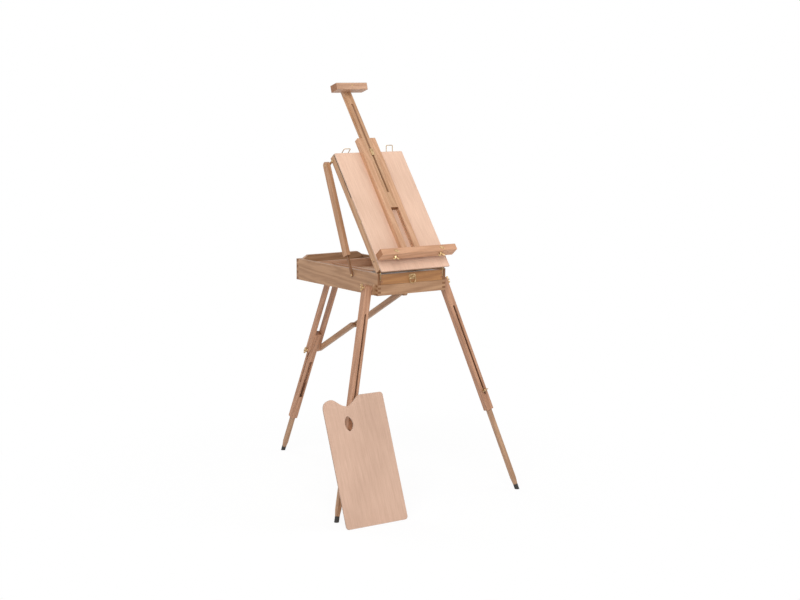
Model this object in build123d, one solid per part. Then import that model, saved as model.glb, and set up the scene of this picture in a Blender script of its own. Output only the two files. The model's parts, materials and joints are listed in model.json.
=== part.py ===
from build123d import *
import os
from math import cos, radians, sin, sqrt, tan

os.makedirs("parts", exist_ok=True)

# Driving dimensions, in millimetres and degrees. Heights with "_h" are above the underside of the box.

# Box
box_width = 300.0
box_depth = 550.0
box_height = 80.0
box_wall = 14.0
box_underside = 760.0
front_rail_height = 38.0
bottom_thickness = 4.0
bottom_h = 3.0
fence_thickness = 14.0
fence_top_h = 94.0
fence_crest_width = 226.0
fence_bottom_h = 40.0
rail_fingers = 5
back_fingers = 7

# Drawer
drawer_gap = 0.6
drawer_lift = 0.6
drawer_top_h = 76.0
drawer_to_back = 95.0
drawer_front_thickness = 14.0
drawer_side_thickness = 8.0
drawer_bottom_thickness = 3.0
drawer_bottom_rise = 2.0
drawer_fingers = 5
lining_thickness = 0.8
divider_thickness = 6.0
divider_height = 24.0
divider_offset = -46.0
cross_divider_y = 150.0
runner_width = 10.0
runner_height = 9.0
ring_radius = 13.0
ring_wire = 1.6
ring_plate_width = 30.0
ring_plate_height = 18.0
ring_plate_thickness = 1.2
ring_pivot_h = 61.0

# Lid
lid_lean = 37.4
lid_overhang = 0.4
hinge_y = 8.0
hinge_setback = 11.9
lid_length = 507.0
board_thickness = 4.7
bar_thickness = 14.0
bar_depth = 29.0
bar_start = 12.4
top_rail_width = 24.0
bottom_rail_width = 16.0
canvas_slot_start = 316.0
canvas_slot_end = 506.0
canvas_slot_depth = 5.0
canvas_slot_backing = 4.0
hinge_plate = 2.0
hinge_plate_gap = 0.4
hinge_plate_radius = 7.5
hinge_plate_length = 26.0
hinge_pin_radius = 2.0

# Mast, its guide rails and the clamps for the canvas
guide_inner = 16.5
guide_outer = 40.5
guide_thickness = 20.0
guide_start = 48.0
guide_beyond = 50.0
tongue_reach = 4.0
tongue_height = 6.0
tongue_rise = 5.5
tongue_clearance = 0.3
mast_thickness = 18.0
mast_foot = 252.0
mast_top = 769.0
mast_lap = 20.0
mast_slot_width = 8.0
mast_slot_start = 317.0
mast_slot_end = 715.0
mast_bolt_radius = 3.0
top_clamp_length = 137.0
top_clamp_depth = 48.0
top_clamp_height = 26.0
top_clamp_pitch = 20.0
top_clamp_out = 12.0
ledge_length = 328.0
ledge_depth = 39.3
ledge_bottom = 35.0
ledge_top = 59.0
ledge_screw_at = 100.0
ledge_screw_out = 41.0
cheek_width = 13.0
cheek_rise = 20.0
ledge_screw_cover = 10.0
sliding_gap = 0.3

# Hasps between the lid and the back of the box
hasp_offset = 100.0
hasp_width = 28.0
hasp_reach = 26.0
hasp_wire = 1.5
hasp_pivot_out = -9.0
hasp_right_turn = 37.4
hasp_left_turn = 82.0
catch_width = 12.0

# Stays
stay_foot_y = 155.0
stay_foot_h = 59.0
stay_head_along = 491.7
stay_head_behind = 57.1
stay_arm_width = 28.0
stay_arm_thickness = 15.0
stay_arm_length = 348.0
stay_arm_side = 3.0
stay_bar_width = 10.0
stay_bar_thickness = 6.0
stay_bar_length = 230.0
stay_bar_inset = 1.4
stay_groove_depth = 10.2
stay_groove_stop = 42.0
stay_screw_radius = 2.0
strap_width = 9.0
strap_thickness = 2.0
strap_bite = 12.0

# Front legs
leg_pivot_x = 170.0
leg_pivot_y = 40.0
leg_pivot_h = 24.0
leg_foot_x = 404.0
leg_foot_y = -122.0
leg_size = 28.0
leg_length = 510.0
leg_slot_width = 7.0
leg_slot_start = 95.0
leg_slot_past_clamp = 16.0
leg_bore = 16.4
leg_clamp_below_rod_top = 9.0
rod_size = 15.8
front_rod_inside = 86.0
rod_taper = 30.0
wedge_bottom_h = 2.0
wedge_top_h = 62.0
wedge_half_length = 22.0
leg_bolt_radius = 3.0
leg_bolt_depth = 12.0

# Rear leg
rear_pivot_inset = 20.0
rear_pivot_drop = 20.0
rear_lean = 26.9
rear_rail_thickness = 12.0
rear_rail_width = 22.0
rear_rail_length = 331.0
rear_gap = 28.6
rear_clamp_at = 320.0
rear_section_width = 28.0
rear_section_depth = 27.0
rear_section_top = 241.0
rear_section_end = 656.0
rear_slot_width = 14.0
rear_slot_start = 373.0
rear_slot_end = 548.0
rear_bore_start = 482.0
rear_rod_inside = 20.2
rear_travel = 150.0
rear_bolt_radius = 3.0
bolt_head_radius = 5.5
bolt_head_thickness = 2.4
rear_block_length = 34.0

# Brace
brace_front_y = 143.0
brace_width = 20.0
brace_thickness = 12.0
brace_side_gap = 0.5
brace_layer_gap = 3.4
brace_block_width = 14.0
brace_block_length = 36.0

# Rubber feet
foot_radius = 8.5
foot_top_radius = 9.0
foot_height = 20.0

# Wing nuts and wing screws
wing_hub_radius = 6.0
wing_hub_top_radius = 4.2
wing_hub_height = 8.0
wing_reach = 13.5
wing_height = 14.0
wing_thickness = 2.4
wing_seat_gap = 0.3
turning_clearance = 0.06

# Palette
palette_width = 256.0
palette_height = 458.0
palette_thickness = 4.0
palette_left = -432.0
palette_lean = 21.0
palette_corner = 12.0
palette_clearance = 1.0
palette_crest = 0.36
palette_dip = 35.0
palette_drop = 42.0
thumb_hole_in = 91.0
thumb_hole_down = 70.0
thumb_hole_height = 54.0
thumb_hole_bulge = 19.0
thumb_hole_back = 15.0

# Places that follow from these sizes
half_width = box_width / 2
inner_half = half_width - box_wall
box_top = box_underside + box_height
drawer_length = box_depth - drawer_to_back
rear_pivot_y = box_depth - rear_pivot_inset
lid_depth = board_thickness + bar_depth
lid_half = half_width + lid_overhang
mast_bolt_at = lid_length - top_rail_width / 2
guide_end = lid_length + guide_beyond
half_leg = leg_size / 2
bolt_end = -half_leg - leg_bolt_depth
beyond_all = 4 * box_depth


def height(above_underside):
    """Height over the floor of a point given above the underside of the box."""
    return box_underside + above_underside


def block(x_range, y_range, z_range):
    """A square-cut piece between three pairs of limits."""
    size = [high - low for low, high in (x_range, y_range, z_range)]
    middle = [(high + low) / 2 for low, high in (x_range, y_range, z_range)]
    return Pos(*middle) * Box(*size)


def eased(piece, axis, amount=1.0):
    """The piece with its edges along one axis taken off."""
    return chamfer(piece.edges().filter_by(axis), amount)


def cylinder_along(axis, radius, start, end):
    """A round bar on a coordinate axis, between two places on it."""
    turn = {"x": Rot(0, 90, 0), "y": Rot(-90, 0, 0), "z": Rot(0, 0, 0)}[axis]
    return turn * Pos(0, 0, (start + end) / 2) * Cylinder(radius, end - start)


def mirrored(piece):
    """The same piece for the left side."""
    return mirror(piece, about=Plane.YZ)


# The hinge axis carries the lid: local X runs across, Y up along the board, Z out of its face
lean = radians(lid_lean)
hinge_plane = Plane(origin=(0, hinge_y, box_top), x_dir=(1, 0, 0), z_dir=(0, -cos(lean), sin(lean)))
board_place = hinge_plane.location * Pos(0, -hinge_setback, lid_depth)

# A front leg's pivot: local X is its bolt, pointing outwards, and the leg hangs down local Z
leg_pivot = Vector(leg_pivot_x, leg_pivot_y, height(leg_pivot_h))
leg_foot = Vector(leg_foot_x, leg_foot_y, 0)
leg_reach = (leg_foot - leg_pivot).length
leg_down = (leg_foot - leg_pivot).normalized()
leg_bolt_axis = Vector(-leg_down.Z, 0, leg_down.X).normalized()
leg_place = Plane(origin=leg_pivot, x_dir=leg_bolt_axis, z_dir=-leg_down).location
rod_top = leg_length - front_rod_inside
leg_clamp_at = rod_top + leg_clamp_below_rod_top
leg_slot_stop = leg_clamp_at + leg_slot_past_clamp

# The rear leg's pivot, its leg also hanging down local Z
rear_tilt = radians(rear_lean)
rear_down = Vector(0, sin(rear_tilt), -cos(rear_tilt))
rear_pivot = Vector(0, rear_pivot_y, height(-rear_pivot_drop))
rear_reach = rear_pivot.Z / cos(rear_tilt)
rear_place = Plane(origin=rear_pivot, x_dir=(1, 0, 0), z_dir=-rear_down).location
rear_rod_top = rear_section_end - rear_rod_inside

# The two brace links are straight when the leg is out and lie on each other when it is folded
brace_front = Vector(0, brace_front_y, height(-rear_pivot_drop))
brace_rear = rear_pivot + rear_down * rear_clamp_at
brace_reach = (brace_rear - brace_front).length
brace_folded_gap = rear_pivot_y - rear_clamp_at - brace_front_y
brace_upper_length = (brace_reach + brace_folded_gap) / 2
brace_lower_length = (brace_reach - brace_folded_gap) / 2
brace_direction = (brace_rear - brace_front).normalized()
brace_inner_x = rear_gap / 2 + rear_rail_thickness + brace_side_gap
brace_outer_x = brace_inner_x + brace_thickness + brace_layer_gap + 2 * brace_side_gap

# The stay runs from its screw on the side wall to its rivet behind the lid
stay_foot = Vector(0, stay_foot_y, height(stay_foot_h))
stay_head = Vector(*(board_place * Pos(0, stay_head_along, -stay_head_behind)).position)
stay_span = (stay_head - stay_foot).length
stay_up = (stay_head - stay_foot).normalized()
stay_place = Plane(origin=stay_head, x_dir=(1, 0, 0), z_dir=stay_up).location
stay_x = half_width + stay_arm_side

# The palette leans back as far as the path of the left leg's clamp screw lets it
palette_tilt = radians(palette_lean)
palette_rise = palette_height * cos(palette_tilt)
leg_slope = leg_down.Y / leg_down.Z
screw_front = (half_leg + wing_seat_gap + wing_height) * sqrt(1 + leg_slope**2)
palette_top_y = leg_foot_y + palette_rise * leg_slope - screw_front - palette_clearance
palette_foot_y = palette_top_y - palette_rise * tan(palette_tilt)

# The footprint's middle is the part's origin
footprint_back = rear_pivot_y + rear_reach * sin(rear_tilt) + foot_radius
footprint_front = palette_foot_y - palette_thickness
footprint_middle = (footprint_back + footprint_front) / 2

node_count = 0


def save(name, *pieces):
    """Write one sub-part, with the part's origin under the middle of its footprint."""
    global node_count
    shape = pieces[0] if len(pieces) == 1 else Compound(children=list(pieces))
    export_step(Pos(0, -footprint_middle, 0) * shape, f"parts/{name}.step")
    node_count += 1


def finger_cuts(x_range, y_range, z_range, count, odd):
    """Every second finger of a corner joint, counted from below."""
    step = (z_range[1] - z_range[0]) / count
    low = z_range[0]
    return [
        block(x_range, y_range, (low + step * i, low + step * (i + 1)))
        for i in range(count)
        if i % 2 == odd
    ]


def wing(shank_radius=0.0, shank_length=0.0, bore_radius=0.0):
    """A brass wing nut, or a wing screw with its shank, seated on the plane Z = 0."""
    hub = Pos(0, 0, wing_hub_height / 2) * Cone(wing_hub_radius, wing_hub_top_radius, wing_hub_height)
    lobe_radius = (wing_height - wing_seat_gap) / 3
    lobe_x = wing_reach - lobe_radius
    lobe_z = wing_height - lobe_radius
    ear = make_hull(
        [
            *(Pos(lobe_x, lobe_z) * Circle(lobe_radius)).edges(),
            *(Pos(wing_hub_top_radius / 2, wing_hub_height / 2) * Circle(wing_hub_height / 3)).edges(),
        ]
    )
    pair = Sketch() + ear + mirror(ear, about=Plane.YZ)
    nut = hub + Pos(0, wing_thickness / 2, 0) * extrude(Plane.XZ * pair, wing_thickness)
    if bore_radius:
        nut -= Cylinder(bore_radius, wing_height * 3)
    if shank_length:
        nut += Pos(0, 0, -shank_length / 2) * Cylinder(shank_radius, shank_length)
    return nut


# Side walls: finger-jointed to the front rail and to the back wall, with a rebate for the hinge plate
# and a blind bore for the front leg's bolt
front_corner = ((inner_half, half_width), (0, box_wall), (height(0), height(front_rail_height)))
back_corner = ((inner_half, half_width), (box_depth - box_wall, box_depth), (height(0), box_top))
hinge_pocket = 2 * hinge_plate + 3 * hinge_plate_gap
wall_right = block((inner_half, half_width), (0, box_depth), (height(0), box_top))
wall_right -= finger_cuts(*front_corner, rail_fingers, 0)
wall_right -= finger_cuts(*back_corner, back_fingers, 0)
wall_right -= block(
    (inner_half, inner_half + hinge_pocket),
    (0, hinge_y + hinge_plate_radius + sliding_gap),
    (box_top - hinge_plate_length - sliding_gap, box_top),
)
leg_bolt_bore = leg_place * cylinder_along(
    "x", leg_bolt_radius + turning_clearance, bolt_end - sliding_gap, box_width
)
wall_right -= leg_bolt_bore
save("side_wall_right", wall_right)
save("side_wall_left", mirrored(wall_right))

# Front rail and back wall
front_rail = block((-half_width, half_width), (0, box_wall), (height(0), height(front_rail_height)))
back_wall = block((-half_width, half_width), (box_depth - box_wall, box_depth), (height(0), box_top))
for side in (1, -1):
    for cut in finger_cuts(*front_corner, rail_fingers, 1):
        front_rail -= cut if side > 0 else mirrored(cut)
    for cut in finger_cuts(*back_corner, back_fingers, 1):
        back_wall -= cut if side > 0 else mirrored(cut)
save("front_rail", front_rail)
save("back_wall", back_wall)

# Plywood bottom between the walls
inside = ((-inner_half, inner_half), (box_wall, box_depth - box_wall))
save("bottom_panel", block(*inside, (height(bottom_h), height(bottom_h + bottom_thickness))))

# Raised fence inside the back wall, with sloping shoulders
fence_points = [
    (-inner_half, height(fence_bottom_h)),
    (inner_half, height(fence_bottom_h)),
    (inner_half, box_top),
    (fence_crest_width / 2, height(fence_top_h)),
    (-fence_crest_width / 2, height(fence_top_h)),
    (-inner_half, box_top),
]
fence_face = Plane.XZ * make_face(Polyline(*fence_points, close=True))
save("back_fence", Pos(0, box_depth - box_wall, 0) * extrude(fence_face, fence_thickness))

# Runners that carry the drawer
runner_top = height(front_rail_height)
runner = block(
    (inner_half - runner_width, inner_half),
    (box_wall, box_depth - box_wall - fence_thickness),
    (runner_top - runner_height, runner_top),
)
save("drawer_runners", runner, mirrored(runner))

# Drawer: a box with finger-jointed front corners
drawer_half = inner_half - drawer_gap
drawer_bottom = runner_top + drawer_lift
drawer_top = height(drawer_top_h)
drawer_corner = (
    (drawer_half - drawer_side_thickness, drawer_half),
    (0, drawer_front_thickness),
    (drawer_bottom, drawer_top),
)
drawer_front = block((-drawer_half, drawer_half), (0, drawer_front_thickness), (drawer_bottom, drawer_top))
drawer_side = block(
    (drawer_half - drawer_side_thickness, drawer_half), (0, drawer_length), (drawer_bottom, drawer_top)
)
for cut in finger_cuts(*drawer_corner, drawer_fingers, 0):
    drawer_side -= cut
for cut in finger_cuts(*drawer_corner, drawer_fingers, 1):
    drawer_front -= cut
    drawer_front -= mirrored(cut)
drawer_inner_half = drawer_half - drawer_side_thickness
drawer_inside = (-drawer_inner_half, drawer_inner_half)
drawer_back_y = drawer_length - drawer_side_thickness
save("drawer_front", drawer_front)
save("drawer_sides", drawer_side, mirrored(drawer_side))
save("drawer_back", block(drawer_inside, (drawer_back_y, drawer_length), (drawer_bottom, drawer_top)))
drawer_floor = drawer_bottom + drawer_bottom_rise + drawer_bottom_thickness
drawer_room = (drawer_inside, (drawer_front_thickness, drawer_back_y))
save("drawer_bottom", block(*drawer_room, (drawer_bottom + drawer_bottom_rise, drawer_floor)))

# Zinc lining: a folded tray in the front compartment, up to just under the drawer's rim
lining_top = drawer_top - drawer_bottom_thickness
lining = block(drawer_inside, (drawer_front_thickness, cross_divider_y), (drawer_floor, lining_top))
lining_inner_half = drawer_inner_half - lining_thickness
lining_y = (drawer_front_thickness + lining_thickness, cross_divider_y - lining_thickness)
lining_floor = drawer_floor + lining_thickness
lining -= block((-lining_inner_half, lining_inner_half), lining_y, (lining_floor, lining_top + 1))
lining -= block(
    drawer_inside, (lining_y[1], cross_divider_y), (drawer_floor + divider_height, lining_top + 1)
)
save("drawer_lining", lining)

# Dividers that stand on the drawer's bottom: a cross one behind the lining, a long one behind that
divider_z = (drawer_floor, drawer_floor + divider_height)
divider_end_y = cross_divider_y + divider_thickness
cross_divider = block(drawer_inside, (cross_divider_y, divider_end_y), divider_z)
long_divider = block(
    (divider_offset - divider_thickness, divider_offset), (divider_end_y, drawer_back_y), divider_z
)
save("drawer_dividers", long_divider, cross_divider)

# Ring pull on its plate
ring_z = height(ring_pivot_h)
plate_face = Plane(origin=(0, 0, ring_z), x_dir=(1, 0, 0), z_dir=(0, -1, 0))
plate_outline = RectangleRounded(ring_plate_width, ring_plate_height, ring_plate_height / 3)
plate = extrude(plate_face * plate_outline, ring_plate_thickness)
lug = 2.2 * ring_wire
lug_hole = ring_wire + turning_clearance
eye = Pos(0, -ring_plate_thickness - lug, ring_z) * cylinder_along("x", lug, -lug, lug)
eye += block(
    (-lug, lug), (-ring_plate_thickness - lug, -ring_plate_thickness / 2), (ring_z - lug, ring_z + lug)
)
eye -= Pos(0, -ring_plate_thickness - lug, ring_z) * cylinder_along("x", lug_hole, -2 * lug, 2 * lug)
save("drawer_ring_plate", plate + eye)
ring_axis_y = -ring_plate_thickness - lug
bow_drop = sqrt(ring_radius**2 - (2 * lug) ** 2)
bow_path = ThreePointArc((2 * lug, 0, 0), (0, 0, -bow_drop - ring_radius), (-2 * lug, 0, 0))
bow = sweep(Plane(origin=bow_path @ 0, z_dir=bow_path % 0) * Circle(ring_wire), path=bow_path)
bow += cylinder_along("x", ring_wire, -2 * lug - ring_wire / 2, 2 * lug + ring_wire / 2)
save("drawer_ring", Pos(0, ring_axis_y, ring_z) * bow)

# Hinge plates of the lid: the box plates lie in the walls' rebates, the lid plates beside them
plate_x = (inner_half + hinge_plate_gap / 2, inner_half + hinge_plate_gap / 2 + hinge_plate)
lid_plate_x = (plate_x[1] + hinge_plate_gap, plate_x[1] + hinge_plate_gap + hinge_plate)
hinge_center = Pos(0, hinge_y, box_top)
plate_y = (hinge_y - hinge_plate_radius, hinge_y + hinge_plate_radius)
box_plate = hinge_center * cylinder_along("x", hinge_plate_radius, *plate_x)
box_plate += block(plate_x, plate_y, (box_top - hinge_plate_length, box_top))
box_plate += hinge_center * cylinder_along("x", hinge_pin_radius, plate_x[0], lid_plate_x[1])
save("hinge_plates_box", box_plate, mirrored(box_plate))
lid_plate = cylinder_along("x", hinge_plate_radius, *lid_plate_x)
lid_plate += block(lid_plate_x, (0, hinge_plate_length), (sliding_gap, hinge_plate_radius))
lid_plate -= cylinder_along("x", hinge_pin_radius + turning_clearance, 0, half_width)
lid_plate = hinge_plane.location * lid_plate

# Straps that carry the stays behind the lid, listed with the lid's hinge plates
strap_x = (lid_half, lid_half + strap_thickness)
strap = block(
    strap_x,
    (stay_head_along - strap_width / 2, stay_head_along + strap_width / 2),
    (-stay_head_behind, -lid_depth + strap_bite),
)
strap += Pos(0, stay_head_along, -stay_head_behind) * cylinder_along("x", strap_width / 2, *strap_x)
strap = board_place * strap
save("lid_side_plates", lid_plate, mirrored(lid_plate), strap, mirrored(strap))

# Lid board, bored for the mast's clamp bolt
bolt_hole = Pos(0, mast_bolt_at, 0) * cylinder_along("z", mast_bolt_radius + turning_clearance, -60, 60)
board = eased(block((-lid_half, lid_half), (0, lid_length), (-board_thickness, 0)), Axis.Z, 1.5)
save("lid_board", board_place * (board - bolt_hole))

# Side bars of the lid, with a slot against the board that takes a sheet
bar_z = (-lid_depth + sliding_gap, -board_thickness)
bar = block((lid_half - bar_thickness, lid_half), (bar_start, lid_length), bar_z)
bar -= block(
    (inner_half - bar_thickness, lid_plate_x[1]),
    (0, hinge_setback + hinge_plate_length + sliding_gap),
    (bar_z[0], bar_z[0] + hinge_plate_radius + sliding_gap),
)
canvas_slot_z = (-board_thickness - canvas_slot_depth, -board_thickness)
canvas_slot_x = (lid_half - bar_thickness + canvas_slot_backing, box_width)
bar -= block(canvas_slot_x, (canvas_slot_start, canvas_slot_end), canvas_slot_z)
save("lid_side_bars", board_place * bar, mirrored(board_place * bar))

# Cross rails of the lid, the upper one bored for the mast's clamp bolt
rail_half = lid_half - bar_thickness
top_rail = block((-rail_half, rail_half), (lid_length - top_rail_width, lid_length), bar_z) - bolt_hole
bottom_rail = block((-rail_half, rail_half), (bar_start, bar_start + bottom_rail_width), bar_z)
hinge_room = (lid_plate_x[0] - hinge_plate_gap - hinge_plate - sliding_gap, lid_half)
room_z = (bar_z[0], -lid_depth + hinge_plate_radius + 1)
room = block(hinge_room, (0, hinge_setback + hinge_plate_length), room_z)
bottom_rail -= [room, mirrored(room)]
save("lid_cross_rails", board_place * top_rail, board_place * bottom_rail)

# Guide rails on the board: grooved along their inner edges for the mast's tongues
guide = block((guide_inner, guide_outer), (guide_start, guide_end), (0, guide_thickness))
guide = chamfer(guide.edges().filter_by(Axis.Y).group_by(Axis.Z)[-1], 1.5)
groove_z = (tongue_rise - tongue_clearance, tongue_rise + tongue_height + tongue_clearance)
guide -= block((0, guide_inner + tongue_reach + tongue_clearance), (0, 2 * guide_end), groove_z)
save("guide_rails", board_place * guide, mirrored(board_place * guide))

# Top clamp: a cross block, lapped over the mast's end, that hooks forwards over the canvas
clamp_place = Pos(0, mast_top, top_clamp_out) * Rot(top_clamp_pitch, 0, 0)
clamp_half = top_clamp_length / 2
clamp_block = block((-clamp_half, clamp_half), (0, top_clamp_height), (0, top_clamp_depth))
clamp_block = chamfer(clamp_block.edges().filter_by(Axis.Y), 3)
clamp_block = clamp_place * chamfer(clamp_block.edges().filter_by(Axis.X), 1.5)
save("top_clamp", board_place * clamp_block)

# Mast: slotted for its clamp bolt, tongued at both edges, cut back to a lap under the top clamp
mast_half = guide_inner - sliding_gap
mast_z = (sliding_gap * 2, sliding_gap * 2 + mast_thickness)
mast = block((-mast_half, mast_half), (mast_foot, mast_top + mast_lap), mast_z)
mast += block(
    (-mast_half - tongue_reach, mast_half + tongue_reach),
    (mast_foot, mast_top - mast_lap),
    (tongue_rise, tongue_rise + tongue_height),
)
slot_sketch = Pos(0, (mast_slot_start + mast_slot_end) / 2) * Rot(0, 0, 90) * SlotOverall(
    mast_slot_end - mast_slot_start, mast_slot_width
)
mast -= extrude(slot_sketch, 2 * mast_thickness)
mast -= clamp_place * block((-clamp_half, clamp_half), (0, 2 * top_clamp_height), (0, 2 * top_clamp_depth))
save("mast", board_place * mast)

# Clamp bolt of the mast: a long plate in front, a round shank through mast, board and upper rail
clamp_plate_z = mast_z[1] + sliding_gap
shank_end = lid_depth + wing_height
bolt = Pos(0, mast_bolt_at, 0) * cylinder_along("z", mast_bolt_radius, -shank_end, clamp_plate_z + 1)
bolt += block((-6, 6), (mast_bolt_at - 14, mast_bolt_at + 14), (clamp_plate_z, clamp_plate_z + 2))
save("mast_clamp_bolt", board_place * bolt)
mast_nut = Pos(0, mast_bolt_at, -lid_depth - wing_seat_gap) * Rot(180, 0, 0) * wing(
    bore_radius=mast_bolt_radius + turning_clearance
)
save("mast_wing_nut", board_place * mast_nut)

# Ledge: a bar that slides on the guide rails between two cheeks
ledge_z = guide_thickness + sliding_gap
ledge_half = ledge_length / 2
ledge = block((-ledge_half, ledge_half), (ledge_bottom, ledge_top), (ledge_z, ledge_z + ledge_depth))
ledge = chamfer(ledge.edges().filter_by(Axis.X).group_by(Axis.Z)[-1], 1.5)
for side in (1, -1):
    cheek_x = sorted((side * (guide_outer + sliding_gap), side * (guide_outer + sliding_gap + cheek_width)))
    ledge += block(cheek_x, (guide_start, ledge_top + cheek_rise), (sliding_gap, ledge_z + 2))
    screw_hole = Pos(side * ledge_screw_at, 0, ledge_screw_out) * cylinder_along(
        "y", mast_bolt_radius + turning_clearance, 0, ledge_top - ledge_screw_cover
    )
    ledge -= screw_hole
save("ledge", board_place * ledge)
ledge_screw = Pos(ledge_screw_at, ledge_bottom - wing_seat_gap, ledge_screw_out) * Rot(90, 0, 0) * wing(
    shank_radius=mast_bolt_radius, shank_length=12.0
)
save("ledge_wing_screw_right", board_place * ledge_screw)
save("ledge_wing_screw_left", mirrored(board_place * ledge_screw))

# Hasps: wire loops hinged in small barrels on the top edge of the lid, one upright, one forwards
hasp_y = lid_length + hasp_wire + 1.4
barrel_radius = hasp_wire + 1.2
hasp_axis = Pos(hasp_offset, hasp_y, hasp_pivot_out)
hasp_inner = hasp_width / 2 - hasp_wire
barrel = cylinder_along("x", barrel_radius, -hasp_inner + 2.5, hasp_inner - 2.5)
barrel_x = (-hasp_inner + 2.5, hasp_inner - 2.5)
barrel += block(barrel_x, (lid_length - hasp_y, 0), (-barrel_radius, barrel_radius))
barrel -= cylinder_along("x", hasp_wire + turning_clearance, -hasp_width, hasp_width)
barrel = board_place * hasp_axis * barrel
save("hasp_barrels", barrel, mirrored(barrel))
loop_path = FilletPolyline(
    (-hasp_width / 2, 0, 0),
    (-hasp_width / 2, hasp_reach, 0),
    (hasp_width / 2, hasp_reach, 0),
    (hasp_width / 2, 0, 0),
    radius=hasp_width / 7,
)
loop = sweep(Plane(origin=loop_path @ 0, z_dir=loop_path % 0) * Circle(hasp_wire), path=loop_path)
loop += cylinder_along("x", hasp_wire, -hasp_width / 2 - hasp_wire, hasp_width / 2 + hasp_wire)
hinge_line = board_place * hasp_axis
save("hasp_right", hinge_line * Rot(hasp_right_turn, 0, 0) * loop)
save("hasp_left", mirrored(hinge_line * Rot(hasp_left_turn, 0, 0) * loop))

# Catches for the hasps behind the fence
catch_y = box_depth - box_wall
catch_profile = [(0, 0), (2, 0), (2, 6), (7, 6), (7, 8), (0, 8)]
catch_face = Plane.YZ * make_face(Polyline(*catch_profile, close=True))
catch = Pos(hasp_offset, catch_y, box_top) * extrude(catch_face, catch_width / 2, both=True)
save("hasp_catches", catch, mirrored(catch))

# Stay bars: each turns on a screw in the side wall
bar_x = (stay_x + stay_bar_inset, stay_x + stay_bar_inset + stay_bar_thickness)
bar_half = stay_bar_width / 2
stay_bar = block(bar_x, (-bar_half, bar_half), (-stay_span, -stay_span + stay_bar_length))
stay_bar += Pos(0, 0, -stay_span) * cylinder_along("x", bar_half, *bar_x)
stay_bar -= Pos(0, 0, -stay_span) * cylinder_along("x", stay_screw_radius + turning_clearance, 0, box_width)
stay_bar = stay_place * stay_bar
save("stay_bar_right", stay_bar)
save("stay_bar_left", mirrored(stay_bar))
screw_head_x = bar_x[1] + sliding_gap
stay_screw = cylinder_along("x", stay_screw_radius, half_width, screw_head_x)
stay_screw += cylinder_along("x", 2.2 * stay_screw_radius, screw_head_x, screw_head_x + 1.6)
stay_screw = Pos(*stay_foot) * stay_screw
save("stay_screws", stay_screw, mirrored(stay_screw))

# Stay arms: each slides over its bar in a groove that is open towards the wall
arm_x = (stay_x, stay_x + stay_arm_thickness)
arm_half = stay_arm_width / 2
arm = block(arm_x, (-arm_half, arm_half), (-stay_arm_length, 0))
arm += cylinder_along("x", arm_half, *arm_x)
arm -= block(
    (arm_x[0], arm_x[0] + stay_groove_depth),
    (-bar_half - sliding_gap, bar_half + sliding_gap),
    (-stay_arm_length, -stay_groove_stop),
)
arm = stay_place * arm
save("stay_arm_right", arm)
save("stay_arm_left", mirrored(arm))

# Wedge blocks that splay the front legs, with the hole for the pivot bolt
wedge = block(
    (half_width, leg_pivot_x),
    (leg_pivot_y - wedge_half_length, leg_pivot_y + wedge_half_length),
    (height(wedge_bottom_h), height(wedge_top_h)),
)
splay_normal = leg_bolt_axis.cross(Vector(0, 1, 0))
splay_place = Plane(origin=leg_pivot, x_dir=leg_bolt_axis, z_dir=splay_normal).location
wide = (-box_depth, box_depth)
wedge -= splay_place * block((-half_leg - sliding_gap, box_depth), wide, wide)
wedge -= leg_bolt_bore
save("leg_wedges", wedge, mirrored(wedge))

# Front legs: square tubes of wood with a slot down the front for the clamp screw
leg = block((-half_leg, half_leg), (-half_leg, half_leg), (-leg_length, 0))
leg = eased(leg, Axis.Z, 1.5)
leg += cylinder_along("x", half_leg, -half_leg, half_leg)
half_bore = leg_bore / 2
leg -= block((-half_bore, half_bore), (-half_bore, half_bore), (-leg_length, -leg_slot_start))
leg -= block((-leg_slot_width / 2, leg_slot_width / 2), (-half_leg, 0), (-leg_slot_stop, -leg_slot_start))
leg -= cylinder_along("x", leg_bolt_radius + turning_clearance, -half_leg, half_leg)
save("front_leg_right", leg_place * leg)
save("front_leg_left", mirrored(leg_place * leg))

# Pivot bolts of the front legs and their wing nuts
pivot_bolt = leg_place * cylinder_along("x", leg_bolt_radius, bolt_end, half_leg + wing_height)
pivot_nut = leg_place * Pos(half_leg + wing_seat_gap, 0, 0) * Rot(0, 90, 0) * wing(
    bore_radius=leg_bolt_radius + turning_clearance
)
save("leg_wing_nut_right", pivot_nut)
save("leg_wing_nut_left", mirrored(pivot_nut))


def foot_cut(shape):
    """The part of a shape that stands above the floor."""
    return shape & block((-beyond_all, beyond_all), (-beyond_all, beyond_all), (0, beyond_all))


def rod(top, reach):
    """A square sliding rod with a tapered end, from its top to the seat of the rubber foot."""
    half_rod = rod_size / 2
    seat = reach - foot_height * 0.75
    straight = block((-half_rod, half_rod), (-half_rod, half_rod), (-seat + rod_taper, -top))
    taper = loft(
        [
            Pos(0, 0, -seat + rod_taper) * Rectangle(rod_size, rod_size),
            Pos(0, 0, -seat) * Rectangle(foot_radius * 1.3, foot_radius * 1.3),
        ]
    )
    return straight + taper


def rubber_foot(reach):
    """A round rubber ferrule round the rod's end, longer than it will be when the floor cuts it flat."""
    return Pos(0, 0, -reach) * Cone(foot_radius, foot_top_radius, 2 * foot_height)


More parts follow.
